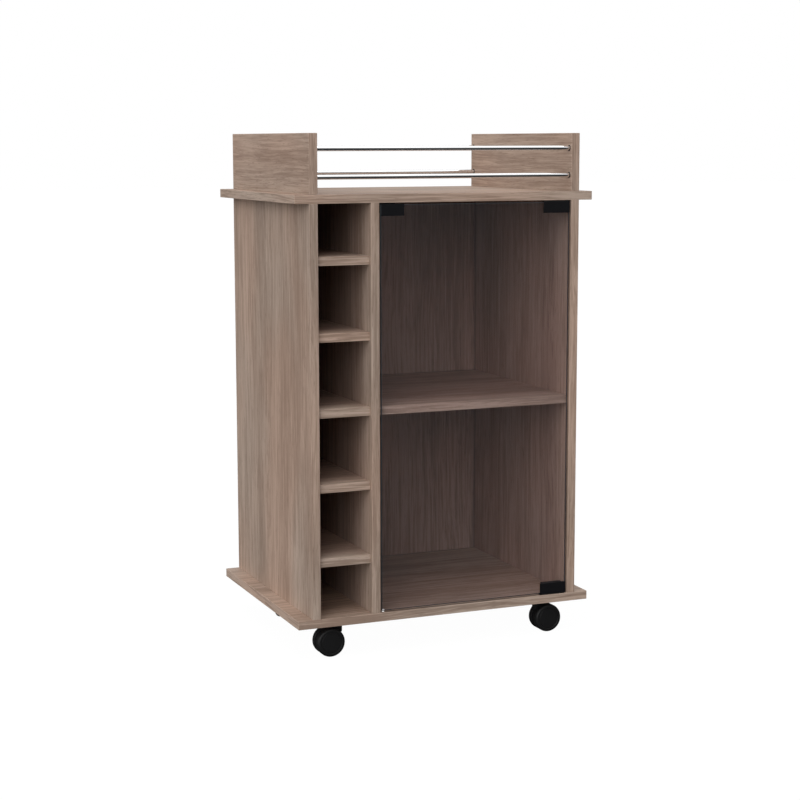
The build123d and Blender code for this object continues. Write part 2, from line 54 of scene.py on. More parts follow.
MM = 0.001
# Bounds of the cabinet's inside, and the sizes of the painted shade and the painted shadow laid there.
INSIDE_HALF_WIDTH = 234.5 * MM
INSIDE_BOTTOM = 73.5 * MM
INSIDE_TOP = 774.5 * MM
INSIDE_REAR = 189.5 * MM
INSIDE_FRONT = -197.0 * MM
PAINTED_SHADE_REACH = 60.0 * MM
DIVIDER_RIGHT = -125.5 * MM
STOREY = 350.0 * MM
PAINTED_SHADOW_WIDTH = 9.0 * MM
MERGE_DISTANCE = 1e-6
WHITE = (1.0, 1.0, 1.0)
BLACK = (0.0, 0.0, 0.0)

Colour = tuple[float, float, float]
Outline = Sequence[tuple[float, float]]
Value = object
Socket = bpy.types.NodeSocket
Node = bpy.types.Node
Material = bpy.types.Material
Piece = bpy.types.Object
Shape = bmesh.types.BMesh


class Axis(Enum):
    """The three directions of the cabinet: along its width, its depth and its height."""

    WIDTH = Vector((1.0, 0.0, 0.0))
    DEPTH = Vector((0.0, 1.0, 0.0))
    HEIGHT = Vector((0.0, 0.0, 1.0))


class Level(Enum):
    """Which of two pieces one above the other."""

    LOWER = "lower"
    UPPER = "upper"


# ---- Node sheets ----


@dataclass
class NodeSheet:
    """Lays shader nodes in one node tree and wires them together."""

    tree: bpy.types.NodeTree

    def feed(self, socket: Socket, value: Value) -> None:
        """Wires a socket to another one, or sets its plain value.

        Args:
            socket: the input to feed.
            value: an output socket, or a number, vector or colour.
        """
        if isinstance(value, Socket):
            self.tree.links.new(value, socket)
        else:
            socket.default_value = value

    def add(self, kind: str, settings: dict[str, object] | None = None, **inputs: Value) -> Node:
        """Adds one node.

        Args:
            kind: the node's type.
            settings: its own properties by name.
            **inputs: its inputs by name, with underscores for spaces.

        Returns:
            The node.
        """
        node = self.tree.nodes.new(kind)
        for name, value in (settings or {}).items():
            setattr(node, name, value)
        self.give(node, **inputs)
        return node

    def give(self, node: Node, **inputs: Value) -> None:
        """Feeds several inputs of a node.

        Args:
            node: the node.
            **inputs: what each input gets by its name, with underscores for spaces.
        """
        for name, value in inputs.items():
            self.feed(node.inputs[name.replace("_", " ")], value)

    def math(self, operation: str, *values: Value, clamp: bool = False) -> Socket:
        """Adds a Math node.

        Args:
            operation: the sum it does.
            *values: its inputs in order.
            clamp: whether the answer is held between 0 and 1.

        Returns:
            Its answer.
        """
        node = self.add("ShaderNodeMath", {"operation": operation, "use_clamp": clamp})
        for socket, value in zip(node.inputs, values):
            self.feed(socket, value)
        return node.outputs[0]

    def vector(self, operation: str, *values: Value) -> Socket:
        """Adds a Vector Math node.

        Args:
            operation: the sum it does.
            *values: its inputs in order.

        Returns:
            Its answer, a number for a dot product or a length and else a vector.
        """
        node = self.add("ShaderNodeVectorMath", {"operation": operation})
        for socket, value in zip(node.inputs, values):
            self.feed(socket, value)
        return node.outputs["Value" if operation in ("DOT_PRODUCT", "LENGTH") else "Vector"]

    def stretch(self, vector: Value, scale: Sequence[float]) -> Socket:
        """Multiplies a vector's parts by three numbers and returns the new vector."""
        return self.vector("MULTIPLY", vector, tuple(scale))

    def noise(self, vector: Value, scale: float, detail: float = 2.0, roughness: float = 0.5) -> Socket:
        """Adds a noise texture of so many features a unit and returns its value, about 0.5 on average."""
        node = self.add("ShaderNodeTexNoise", Vector=vector, Scale=scale, Detail=detail, Roughness=roughness)
        return node.outputs["Fac"]

    def span(self, value: Value, low: float, high: float, to_low: float = 0.0,
             to_high: float = 1.0) -> Socket:
        """Maps one range of values smoothly onto another, and holds it there.

        Args:
            value: what is mapped.
            low: where the old range starts.
            high: where the old range ends.
            to_low: the new value at low.
            to_high: the new value at high.

        Returns:
            The mapped value.
        """
        node = self.add("ShaderNodeMapRange", {"interpolation_type": "SMOOTHSTEP", "clamp": True})
        for name, number in (("From Min", low), ("From Max", high), ("To Min", to_low), ("To Max", to_high)):
            node.inputs[name].default_value = number
        self.feed(node.inputs["Value"], value)
        return node.outputs["Result"]

    def mix(self, factor: Value, first: Value, second: Value, way: str = "MIX") -> Socket:
        """Mixes two colours.

        Args:
            factor: the share of the second.
            first: the colour at 0.
            second: the colour at 1.
            way: how they are blended.

        Returns:
            The mixed colour.
        """
        node = self.add("ShaderNodeMix", {"data_type": "RGBA", "blend_type": way})
        self.feed(node.inputs[0], factor)
        self.feed(node.inputs[6], as_colour(first))
        self.feed(node.inputs[7], as_colour(second))
        return node.outputs[2]

    def grey(self, value: Value) -> Socket:
        """Makes a colour, or a vector, of one value and returns it."""
        return self.add("ShaderNodeCombineXYZ", X=value, Y=value, Z=value).outputs[0]

    def mix_shaders(self, factor: Value, first: Value, second: Value) -> Socket:
        """Mixes two shaders.

        Args:
            factor: the share of the second.
            first: the shader at 0.
            second: the shader at 1.

        Returns:
            The mixed shader.
        """
        node = self.add("ShaderNodeMixShader")
        for socket, value in zip(node.inputs, (factor, first, second)):
            self.feed(socket, value)
        return node.outputs[0]


def as_colour(value: Value) -> Value:
    """Gives a plain colour of three numbers the alpha that a colour socket wants."""
    if isinstance(value, tuple) and len(value) == 3:
        return (*value, 1.0)
    return value


def new_group(name: str, inputs: dict[str, str], outputs: dict[str, str]) -> tuple[NodeSheet, dict, Node]:
    """Starts a node group.

    Args:
        name: the group's name.
        inputs: the kind of each input socket by its name.
        outputs: the kind of each output socket by its name.

    Returns:
        The group's sheet, its input sockets by name and its output node.
    """
    tree = bpy.data.node_groups.new(name, "ShaderNodeTree")
    for side, sockets in (("INPUT", inputs), ("OUTPUT", outputs)):
        for socket, kind in sockets.items():
            tree.interface.new_socket(name=socket, in_out=side, socket_type="NodeSocket" + kind)
    sheet = NodeSheet(tree)
    entry = sheet.add("NodeGroupInput")
    return sheet, {name: entry.outputs[name] for name in inputs}, sheet.add("NodeGroupOutput")


def place_group(sheet: NodeSheet, group: bpy.types.NodeTree, **inputs: Value) -> Node:
    """Places a node group in a material's sheet, fed by input name, and returns its node."""
    return sheet.add("ShaderNodeGroup", {"node_tree": group}, **inputs)


def new_material(name: str) -> tuple[Material, NodeSheet, Node]:
    """Starts a material with an empty Principled shader.

    Args:
        name: the material's name.

    Returns:
        The material, its sheet and its Principled node.
    """
    material = bpy.data.materials.new(name)
    material.use_nodes = True
    sheet = NodeSheet(material.node_tree)
    return material, sheet, material.node_tree.nodes["Principled BSDF"]


def add_bump(sheet: NodeSheet, bsdf: Node, height: Value, strength: float, depth: float) -> None:
    """Raises a surface by a pattern of 0 to 1, where 1 stands the depth high, in metres."""
    bump = sheet.add("ShaderNodeBump", Height=height, Strength=strength, Distance=depth)
    sheet.feed(bsdf.inputs["Normal"], bump.outputs["Normal"])


# ---- Shared surface effects ----


class SharedEffects:
    """The node groups that several finishes use, each built once."""

    def __init__(self) -> None:
        """Builds every group."""
        self.grain_turn = self.build_grain_turn()
        self.inside_painted_shade = self.build_inside_painted_shade()
        self.oak_print = self.build_oak_print()
        self.smudges = self.build_smudges()
        self.moulding = self.build_moulding()

    def build_grain_turn(self) -> bpy.types.NodeTree:
        """Builds the group that picks the grain's direction from the way a face looks.

        Returns:
            The group. Faces that look along Grain Axis take the second vector, for their edge band.
        """
        sheet, entry, leave = new_group(
            "grain_turn",
            {"Face Vector": "Vector", "Edge Vector": "Vector", "Grain Axis": "Vector", "Normal": "Vector"},
            {"Vector": "Vector", "Arris Mask": "Float"},
        )
        along = sheet.vector("DOT_PRODUCT", entry["Normal"], entry["Grain Axis"])
        edge_mask = sheet.math("GREATER_THAN", sheet.math("ABSOLUTE", along), 0.8)
        pick = sheet.add("ShaderNodeMix", {"data_type": "VECTOR"})
        sheet.feed(pick.inputs[0], edge_mask)
        sheet.feed(pick.inputs[4], entry["Face Vector"])
        sheet.feed(pick.inputs[5], entry["Edge Vector"])
        parts = sheet.add("ShaderNodeSeparateXYZ", Vector=sheet.vector("ABSOLUTE", entry["Normal"]))
        sideways = sheet.math("MAXIMUM", parts.outputs[1], parts.outputs[2])
        largest = sheet.math("MAXIMUM", parts.outputs[0], sideways)
        sheet.give(leave, Vector=pick.outputs[1], Arris_Mask=sheet.math("LESS_THAN", largest, 0.95))
        return sheet.tree

    def build_inside_painted_shade(self) -> bpy.types.NodeTree:
        """Builds the painted shade of the boards inside: a darker, warmer tint behind the front edges, with a
        painted contact shadow where they meet the back panel.

        Returns:
            The group, which gives a colour to multiply by: white outside the cabinet and on front edges.
        """
        sheet, entry, leave = new_group(
            "inside_painted_shade", {"Vector": "Vector", "Tone": "Color", "Grime": "Float"}, {"Color": "Color"},
        )
        parts = sheet.add("ShaderNodeSeparateXYZ", Vector=entry["Vector"])
        inside = sheet.math("LESS_THAN", sheet.math("ABSOLUTE", parts.outputs[0]), INSIDE_HALF_WIDTH)
        inside = sheet.math("MULTIPLY", inside, sheet.math("GREATER_THAN", parts.outputs[2], INSIDE_BOTTOM))
        inside = sheet.math("MULTIPLY", inside, sheet.math("LESS_THAN", parts.outputs[2], INSIDE_TOP))
        # Painted shade: the inside of the cabinet turns darker and warmer from just behind the front edges.
        behind_edges = sheet.span(parts.outputs[1], INSIDE_FRONT, INSIDE_FRONT + PAINTED_SHADE_REACH)
        with_painted_shade = sheet.mix(sheet.math("MULTIPLY", inside, behind_edges), WHITE, entry["Tone"])
        # Painted contact shadow along the back panel, where the boards meet it.
        near = sheet.span(parts.outputs[1], INSIDE_REAR - PAINTED_SHADOW_WIDTH, INSIDE_REAR)
        dark = sheet.math("MULTIPLY", sheet.math("MULTIPLY", near, inside), entry["Grime"])
        sheet.give(leave, Color=sheet.mix(dark, with_painted_shade, BLACK))
        return sheet.tree

    def build_oak_print(self) -> bpy.types.NodeTree:
        """Builds the grey-brown oak print, with its grain along the vector's Z.

        Returns:
            The group, which gives a colour, a pore mask and a soft streak value.
        """
        sheet, entry, leave = new_group(
            "oak_print",
            {"Vector": "Vector", "Light": "Color", "Dark": "Color", "Pore": "Color", "Contrast": "Float"},
            {"Color": "Color", "Pores": "Float", "Streaks": "Float"},
        )
        spot = entry["Vector"]
        drift = sheet.noise(sheet.stretch(spot, (9.0, 9.0, 2.4)), 1.0, 1.0)
        sway = sheet.math("MULTIPLY", sheet.math("SUBTRACT", drift, 0.5), 0.03)
        push = sheet.add("ShaderNodeCombineXYZ", X=sway, Y=sway)
        knots = sheet.add(
            "ShaderNodeTexVoronoi", {"feature": "F1", "distance": "EUCLIDEAN"},
            Vector=sheet.stretch(spot, (9.0, 9.0, 2.6)), Scale=1.0, Randomness=0.9,
        )
        chosen = sheet.span(knots.outputs["Color"], 0.62, 0.72)
        away = knots.outputs["Distance"]
        knot_core = sheet.math("MULTIPLY", sheet.span(away, 0.02, 0.13, 1.0, 0.0), chosen)
        knot_pull = sheet.math("MULTIPLY", sheet.span(away, 0.0, 0.34, 0.012, 0.0), chosen)
        pull = sheet.add("ShaderNodeCombineXYZ", X=knot_pull, Y=knot_pull)
        bent = sheet.vector("ADD", sheet.vector("ADD", spot, push.outputs[0]), pull.outputs[0])

        drawn_out = sheet.stretch(bent, (1.0, 1.0, 0.03))
        fine = sheet.noise(drawn_out, 300.0, 2.0, 0.65)
        streak = sheet.noise(drawn_out, 85.0, 3.0, 0.6)
        strength = sheet.noise(sheet.stretch(spot, (1.0, 1.0, 0.3)), 11.0, 1.0, 0.5)
        patch = sheet.span(strength, 0.36, 0.64, 0.4, 1.9)
        broad = sheet.noise(sheet.stretch(bent, (1.0, 1.0, 0.10)), 15.0, 2.0, 0.5)
        cloud = sheet.noise(sheet.stretch(spot, (1.0, 1.0, 0.5)), 6.0, 1.0, 0.5)

        parts = sheet.add("ShaderNodeSeparateXYZ", Vector=bent)
        folded = sheet.math("PINGPONG", parts.outputs[1], 0.115)
        depth = sheet.math("MULTIPLY_ADD", parts.outputs[2], 0.03, sheet.math("ADD", parts.outputs[0], 0.05))
        pith = sheet.add("ShaderNodeCombineXYZ", X=depth, Y=folded)
        wobble = sheet.noise(sheet.stretch(bent, (30.0, 30.0, 7.0)), 1.0, 2.0)
        radius = sheet.math("MULTIPLY_ADD", sheet.vector("LENGTH", pith.outputs[0]), 105.0, wobble)
        ring = sheet.math("FRACT", radius)
        late = sheet.math("MULTIPLY", sheet.span(ring, 0.45, 0.92), sheet.span(ring, 0.94, 1.0, 1.0, 0.0))

        dash = sheet.noise(sheet.stretch(bent, (1.0, 1.0, 0.05)), 900.0, 1.0, 0.5)
        dash_share = sheet.math("MULTIPLY_ADD", late, 0.02, sheet.math("MULTIPLY", broad, 0.07))
        pores = sheet.span(sheet.math("ADD", dash, dash_share), 0.66, 0.75)

        tone = sheet.math("MULTIPLY_ADD", sheet.math("SUBTRACT", fine, 0.5), 2.3, 0.5)
        tone = sheet.math("MULTIPLY_ADD", sheet.math("SUBTRACT", streak, 0.5), patch, tone)
        tone = sheet.math("MULTIPLY_ADD", sheet.math("SUBTRACT", broad, 0.5), 1.5, tone)
        tone = sheet.math("SUBTRACT", sheet.math("MULTIPLY_ADD", late, 0.16, tone), 0.55)
        tone = sheet.math("MULTIPLY_ADD", tone, entry["Contrast"], 0.5, clamp=True)
        colour = sheet.mix(tone, entry["Light"], entry["Dark"])
        warm = sheet.mix(sheet.span(cloud, 0.3, 0.7), (1.03, 0.985, 0.965), (0.97, 1.01, 1.03))
        colour = sheet.mix(1.0, colour, warm, "MULTIPLY")
        colour = sheet.mix(sheet.math("MULTIPLY", pores, 0.45), colour, entry["Pore"])
        colour = sheet.mix(sheet.math("MULTIPLY", knot_core, 0.6), colour, entry["Pore"])
        sheet.give(leave, Color=colour, Pores=pores, Streaks=streak)
        return sheet.tree

    def build_smudges(self) -> bpy.types.NodeTree:
        """Builds the faint uneven gloss that handling leaves.

        Returns:
            The group, which gives a roughness around the one asked for.
        """
        sheet, entry, leave = new_group(
            "handling_smudges",
            {"Vector": "Vector", "Roughness": "Float", "Amount": "Float"},
            {"Roughness": "Float"},
        )
        soft = sheet.noise(entry["Vector"], 14.0, 3.0, 0.6)
        fine = sheet.noise(entry["Vector"], 160.0, 2.0, 0.5)
        both = sheet.math("MULTIPLY_ADD", fine, 0.3, sheet.math("MULTIPLY", soft, 0.7))
        swing = sheet.math("MULTIPLY", sheet.math("SUBTRACT", both, 0.5), entry["Amount"])
        sheet.give(leave, Roughness=sheet.math("ADD", entry["Roughness"], swing, clamp=True))
        return sheet.tree

    def build_moulding(self) -> bpy.types.NodeTree:
        """Builds the fine stipple of moulded plastic and sprayed coatings.

        Returns:
            The group, which gives a height and a faint colour swing.
        """
        sheet, entry, leave = new_group(
            "moulding_stipple",
            {"Vector": "Vector", "Grain Size": "Float"},
            {"Height": "Float", "Swing": "Float"},
        )
        cells = sheet.add("ShaderNodeTexVoronoi", {"feature": "SMOOTH_F1"}, Vector=entry["Vector"])
        sheet.feed(cells.inputs["Scale"], sheet.math("DIVIDE", 1.0, entry["Grain Size"]))
        soft = sheet.noise(entry["Vector"], 45.0, 2.0, 0.5)
        sheet.give(leave, Height=cells.outputs["Distance"], Swing=soft)
        return sheet.tree


# ---- Finishes ----


def add_smudges(sheet: NodeSheet, bsdf: Node, effects: SharedEffects, spot: Value, roughness: float,
                amount: float) -> Socket:
    """Gives a surface the uneven gloss of handling.

    Args:
        sheet: the material's sheet.
        bsdf: its Principled node.
        effects: the shared node groups.
        spot: where the pattern is read.
        roughness: the roughness on average.
        amount: how far it swings.

    Returns:
        The roughness, for a finish that adds to it.
    """
    smudge = place_group(sheet, effects.smudges, Vector=spot, Roughness=roughness, Amount=amount)
    sheet.give(bsdf, Roughness=smudge.outputs["Roughness"])
    return smudge.outputs["Roughness"]


@dataclass(frozen=True)
class OakLaminate:
    """Satin melamine with the oak print, for one board.

    The grain runs along the board. The bands on its ends run their grain along their own length.
    """

    name: str
    grain: Axis
    end_grain: Axis
    shift: tuple[float, float, float]
    light: Colour = (0.510, 0.382, 0.305)
    dark: Colour = (0.325, 0.231, 0.178)
    pore: Colour = (0.165, 0.112, 0.080)
    contrast: float = 1.15
    # Painted shade: the board's darker tint inside the cabinet, and the strength of its painted shadow along
    # the back panel.
    inside_painted_tint: Colour = (0.80, 0.75, 0.76)
    painted_rear_shadow: float = 0.45
    roughness: float = 0.46
    smudge_swing: float = 0.16
    specular: float = 0.22
    arris_share: float = 0.25
    pore_dullness: float = 0.14
    pore_depth: float = -0.7
    relief_strength: float = 0.35
    relief_depth: float = 0.12 * MM

    def make(self, effects: SharedEffects) -> Material:
        """Makes the material.

        Args:
            effects: the shared node groups.

        Returns:
            The material.
        """
        material, sheet, bsdf = new_material(self.name)
        coordinates = sheet.add("ShaderNodeTexCoord")
        spot = coordinates.outputs["Object"]
        turn = place_group(
            sheet, effects.grain_turn,
            Face_Vector=self.turned(sheet, spot, self.grain),
            Edge_Vector=self.turned(sheet, spot, self.end_grain),
            Grain_Axis=tuple(self.grain.value),
            Normal=coordinates.outputs["Normal"],
        )
        oak = place_group(
            sheet, effects.oak_print,
            Vector=turn.outputs["Vector"], Light=as_colour(self.light), Dark=as_colour(self.dark),
            Pore=as_colour(self.pore), Contrast=self.contrast,
        )
        arris = sheet.math("MULTIPLY", turn.outputs["Arris Mask"], self.arris_share)
        colour = sheet.mix(arris, oak.outputs["Color"], self.light)
        # Painted shade: the print is multiplied by the darker inside tint and the painted shadow along the
        # back panel.
        shade = place_group(
            sheet, effects.inside_painted_shade, Vector=spot, Tone=as_colour(self.inside_painted_tint), Grime=self.painted_rear_shadow,
        )
        smudged = add_smudges(sheet, bsdf, effects, spot, self.roughness, self.smudge_swing)
        dull = sheet.math("MULTIPLY_ADD", oak.outputs["Pores"], self.pore_dullness, smudged, clamp=True)
        with_painted_shade = sheet.mix(1.0, colour, shade.outputs["Color"], "MULTIPLY")
        sheet.give(bsdf, Base_Color=with_painted_shade, Roughness=dull, Specular_IOR_Level=self.specular)
        relief = sheet.math("MULTIPLY_ADD", oak.outputs["Pores"], self.pore_depth, oak.outputs["Streaks"])
        add_bump(sheet, bsdf, relief, self.relief_strength, self.relief_depth)
        return material

    def turned(self, sheet: NodeSheet, spot: Socket, grain: Axis) -> Socket:
        """Turns and shifts the board's coordinates so that a direction lies along Z.

        Args:
            sheet: the material's sheet.
            spot: the board's coordinates.
            grain: the direction.

        Returns:
            The turned coordinates.
        """
        quarter = math.pi / 2
        turns = {
            Axis.WIDTH: (0.0, -quarter, 0.0),
            Axis.DEPTH: (quarter, 0.0, 0.0),
            Axis.HEIGHT: (0.0, 0.0, 0.0),
        }
        node = sheet.add(
            "ShaderNodeMapping", {"vector_type": "POINT"},
            Vector=spot, Rotation=turns[grain], Location=self.shift,
        )
        return node.outputs["Vector"]


@dataclass(frozen=True)
class PrintedHardboard:
    """Thin hardboard, with the oak print on its front and raw brown fibre behind. Its print is darkened next
    to the walls and under the boards, as painted shade.
    """

    name: str = "printed_hardboard"
    raw: Colour = (0.215, 0.128, 0.075)
    raw_dark: Colour = (0.130, 0.074, 0.042)
    print_shift: tuple[float, float, float] = (0.13, 0.31, 3.1)
    raw_dullness: float = 0.35
    # Painted shade: how wide and how dark it lies next to the walls, and how dark under the boards.
    corner_shade_width: float = 8.0 * MM
    corner: float = 0.60
    shade_under_boards: float = 0.70
    contrast: float = 1.5

    def make(self, effects: SharedEffects) -> Material:
        """Makes the material.

        Args:
            effects: the shared node groups.

        Returns:
            The material.
        """
        oak = OakLaminate(
            self.name, Axis.HEIGHT, Axis.WIDTH, self.print_shift, contrast=self.contrast, painted_rear_shadow=0.0,
        )
        material = oak.make(effects)
        sheet = NodeSheet(material.node_tree)
        bsdf = material.node_tree.nodes["Principled BSDF"]
        printed = bsdf.inputs["Base Color"].links[0].from_socket
        dull = bsdf.inputs["Roughness"].links[0].from_socket
        coordinates = sheet.add("ShaderNodeTexCoord")
        spot = coordinates.outputs["Object"]
        parts = sheet.add("ShaderNodeSeparateXYZ", Vector=coordinates.outputs["Normal"])
        behind = sheet.math("GREATER_THAN", parts.outputs[1], -0.5)
        fibre = sheet.noise(sheet.stretch(spot, (1.0, 1.0, 0.8)), 380.0, 4.0, 0.7)
        blotch = sheet.noise(spot, 9.0, 3.0, 0.6)
        both = sheet.math("MULTIPLY_ADD", fibre, 0.7, sheet.math("MULTIPLY", blotch, 0.5))
        brown = sheet.mix(sheet.span(both, 0.35, 0.85), self.raw_dark, self.raw)
        place = sheet.add("ShaderNodeSeparateXYZ", Vector=spot)
        # Painted shade: the print darkens next to the side wall and the divider, and towards the top of each
        # storey, under the boards.
        walls = [
            sheet.math("ABSOLUTE", sheet.math("SUBTRACT", place.outputs[0], wall))
            for wall in (INSIDE_HALF_WIDTH, DIVIDER_RIGHT)
        ]
        painted_back_shade = sheet.span(sheet.math("MINIMUM", *walls), 0.0, self.corner_shade_width, self.corner, 1.0)
        height = sheet.math("SUBTRACT", place.outputs[2], INSIDE_BOTTOM)
        storey = sheet.math("FRACT", sheet.math("DIVIDE", height, STOREY))
        painted_back_shade = sheet.math("MULTIPLY", painted_back_shade, sheet.span(storey, 0.45, 0.97, 1.0, self.shade_under_boards))
        printed = sheet.mix(1.0, printed, sheet.grey(painted_back_shade), "MULTIPLY")
        rough = sheet.math("MULTIPLY_ADD", behind, self.raw_dullness, dull, clamp=True)
        sheet.give(bsdf, Base_Color=sheet.mix(behind, printed, brown), Roughness=rough)
        return material


@dataclass(frozen=True)
class SmokedGlass:
    """Clear smoked glass, which lets lamps through to what is behind it."""

    name: str = "smoked_glass"
    tint: Colour = (0.90, 0.88, 0.905)
    lamp_tint: Colour = (0.88, 0.86, 0.87)
    ior: float = 1.5

    def make(self, effects: SharedEffects) -> Material:
        """Makes the material.

        Args:
            effects: the shared node groups.

        Returns:
            The material.
        """
        material, sheet, bsdf = new_material(self.name)
        sheet.give(
            bsdf, Base_Color=as_colour(self.tint), Transmission_Weight=1.0, IOR=self.ior, Roughness=0.0,
        )
        clear = sheet.add("ShaderNodeBsdfTransparent", Color=as_colour(self.lamp_tint)).outputs["BSDF"]
        path = sheet.add("ShaderNodeLightPath")
        for_lamps = sheet.mix_shaders(path.outputs["Is Shadow Ray"], bsdf.outputs["BSDF"], clear)
        for_bounces = sheet.mix_shaders(path.outputs["Is Diffuse Ray"], for_lamps, clear)
        sheet.give(material.node_tree.nodes["Material Output"], Surface=for_bounces)
        return material


@dataclass(frozen=True)
class GroundEdge:
    """The frosted, ground edge of the glass."""

    name: str = "ground_glass_edge"
    pale: Colour = (0.050, 0.058, 0.066)
    deep: Colour = (0.024, 0.029, 0.034)
    roughness: float = 0.32
    swing: float = 0.2
    scratch_strength: float = 0.3
    scratch_depth: float = 0.05 * MM

    def make(self, effects: SharedEffects) -> Material:
        """Makes the material.

        Args:
            effects: the shared node groups.

        Returns:
            The material.
        """
        material, sheet, bsdf = new_material(self.name)
        spot = sheet.add("ShaderNodeTexCoord").outputs["Object"]
        scratches = sheet.noise(spot, 900.0, 2.0, 0.6)
        sheet.give(bsdf, Base_Color=sheet.mix(scratches, self.deep, self.pale))
        add_smudges(sheet, bsdf, effects, spot, self.roughness, self.swing)
        add_bump(sheet, bsdf, scratches, self.scratch_strength, self.scratch_depth)
        return material


def shades(colour: Colour, darker: float, lighter: float) -> tuple[Colour, Colour]:
    """Gives a darker and a lighter shade of a colour, by two factors."""
    return tuple(part * darker for part in colour), tuple(min(1.0, part * lighter) for part in colour)


@dataclass(frozen=True)
class PlatedMetal:
    """Bright or dull plated steel with fine draw lines along one direction."""

    name: str
    colour: Colour
    roughness: float
    lines: Axis = Axis.WIDTH
    line_strength: float = 0.05
    swing: float = 0.06
    line_depth: float = 0.02 * MM

    def make(self, effects: SharedEffects) -> Material:
        """Makes the material.

        Args:
            effects: the shared node groups.

        Returns:
            The material.
        """
        material, sheet, bsdf = new_material(self.name)
        spot = sheet.add("ShaderNodeTexCoord").outputs["Object"]
        squeeze = [1.0 - 0.98 * part for part in self.lines.value]
        drawn = sheet.noise(sheet.stretch(spot, squeeze), 1800.0, 2.0, 0.6)
        deep, pale = shades(self.colour, 0.94, 1.06)
        sheet.give(bsdf, Base_Color=sheet.mix(drawn, deep, pale), Metallic=1.0)
        add_smudges(sheet, bsdf, effects, spot, self.roughness, self.swing)
        add_bump(sheet, bsdf, drawn, self.line_strength, self.line_depth)
        return material


@dataclass(frozen=True)
class MouldedPlastic:
    """Moulded plastic, rubber or a sprayed coating, with a fine stipple and handling marks, and an optional
    glow that is painted light.
    """

    name: str
    colour: Colour
    roughness: float
    stipple: float = 0.0005
    stipple_strength: float = 0.25
    swing: float = 0.12
    specular: float = 0.5
    # Painted light: an emission that makes the part glow though it is no lamp.
    glow: float = 0.0
    stipple_depth: float = 0.03 * MM

    def make(self, effects: SharedEffects) -> Material:
        """Makes the material.

        Args:
            effects: the shared node groups.

        Returns:
            The material.
        """
        material, sheet, bsdf = new_material(self.name)
        spot = sheet.add("ShaderNodeTexCoord").outputs["Object"]
        mould = place_group(sheet, effects.moulding, Vector=spot, Grain_Size=self.stipple)
        deep, pale = shades(self.colour, 0.84, 1.18)
        sheet.give(
            bsdf, Base_Color=sheet.mix(mould.outputs["Swing"], deep, pale), Specular_IOR_Level=self.specular,
            Emission_Color=as_colour(self.colour), Emission_Strength=self.glow,
        )
        add_smudges(sheet, bsdf, effects, spot, self.roughness, self.swing)
        add_bump(sheet, bsdf, mould.outputs["Height"], self.stipple_strength, self.stipple_depth)
        return material


@dataclass(frozen=True)
class TurnedBeech:
    """Plain beech of the dowels."""

    name: str = "beech_dowel"
    pale: Colour = (0.56, 0.39, 0.22)
    deep: Colour = (0.42, 0.27, 0.14)
    roughness: float = 0.7
    swing: float = 0.1

    def make(self, effects: SharedEffects) -> Material:
        """Makes the material.

        Args:
            effects: the shared node groups.

        Returns:
            The material.
        """
        material, sheet, bsdf = new_material(self.name)
        spot = sheet.add("ShaderNodeTexCoord").outputs["Object"]
        flecks = sheet.noise(spot, 700.0, 3.0, 0.6)
        sheet.give(bsdf, Base_Color=sheet.mix(flecks, self.deep, self.pale))
        add_smudges(sheet, bsdf, effects, spot, self.roughness, self.swing)
        return material


@dataclass
class Finishes:
    """Every finish of the cabinet that more than one piece shares, made once."""

    effects: SharedEffects
    made: dict[str, Material] = field(default_factory=dict)

    def get(self, finish: object) -> Material:
        """Gives a finish's material, and makes it the first time.

        Args:
            finish: one of the finish dataclasses.

        Returns:
            Its material.
        """
        if finish.name not in self.made:
            self.made[finish.name] = finish.make(self.effects)
        return self.made[finish.name]


NEAR_BLACK = (0.008, 0.008, 0.0085)
BLUE_BLACK = (0.0065, 0.0065, 0.0078)
SOFT_BLACK = (0.010, 0.010, 0.011)
BLACK_PLASTIC = MouldedPlastic("black_plastic", NEAR_BLACK, 0.48, specular=0.25)
BLACK_METAL = MouldedPlastic("black_coated_metal", BLUE_BLACK, 0.42, 0.0004, 0.18, specular=0.2)
CASTER_NYLON = MouldedPlastic("caster_nylon", NEAR_BLACK, 0.50, 0.0006, 0.2, specular=0.3)
CASTER_SOCKET = MouldedPlastic("caster_socket_coating", SOFT_BLACK, 0.42, 0.0004, 0.2, specular=0.3)
PAD_RUBBER = MouldedPlastic("pad_rubber", (0.012, 0.012, 0.012), 0.72, 0.0007, 0.3)
# The door stop's white nylon glows faintly: painted light that keeps it bright behind the glass.
GLOWING_WHITE_NYLON = MouldedPlastic("white_nylon", (0.90, 0.89, 0.87), 0.42, 0.0006, 0.15, glow=0.5)
CHROME = PlatedMetal("chrome_plate", (0.86, 0.865, 0.875), 0.055, Axis.WIDTH, 0.03, 0.03)
ZINC = PlatedMetal("zinc_plate", (0.60, 0.60, 0.58), 0.34, Axis.HEIGHT, 0.12, 0.14)
AXLE_STEEL = PlatedMetal("axle_steel", (0.56, 0.56, 0.55), 0.26, Axis.DEPTH, 0.10, 0.10)


# ---- Mesh work ----


def finish_piece(mesh: Shape, name: str, materials: Sequence[Material], body: str,
                 nodes: Iterable[str]) -> Piece:
    """Turns a bmesh into a finished piece that stands for CAD nodes.

    Args:
        mesh: the shape, in place. It is freed.
        name: the piece's name.
        materials: its materials, in the order of its material indices.
        body: the CAD body it moves with.
        nodes: the CAD nodes it stands for.

    Returns:
        The piece.
    """
    data = bpy.data.meshes.new(name)
    mesh.to_mesh(data)
    mesh.free()
    for material in materials:
        data.materials.append(material)
    piece = bpy.data.objects.new(name, data)
    bpy.context.scene.collection.objects.link(piece)
    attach(piece, body)
    for node in nodes:
        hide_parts(node)
    LOG.info("%s: %d faces on %s", name, len(data.polygons), body)
    return piece


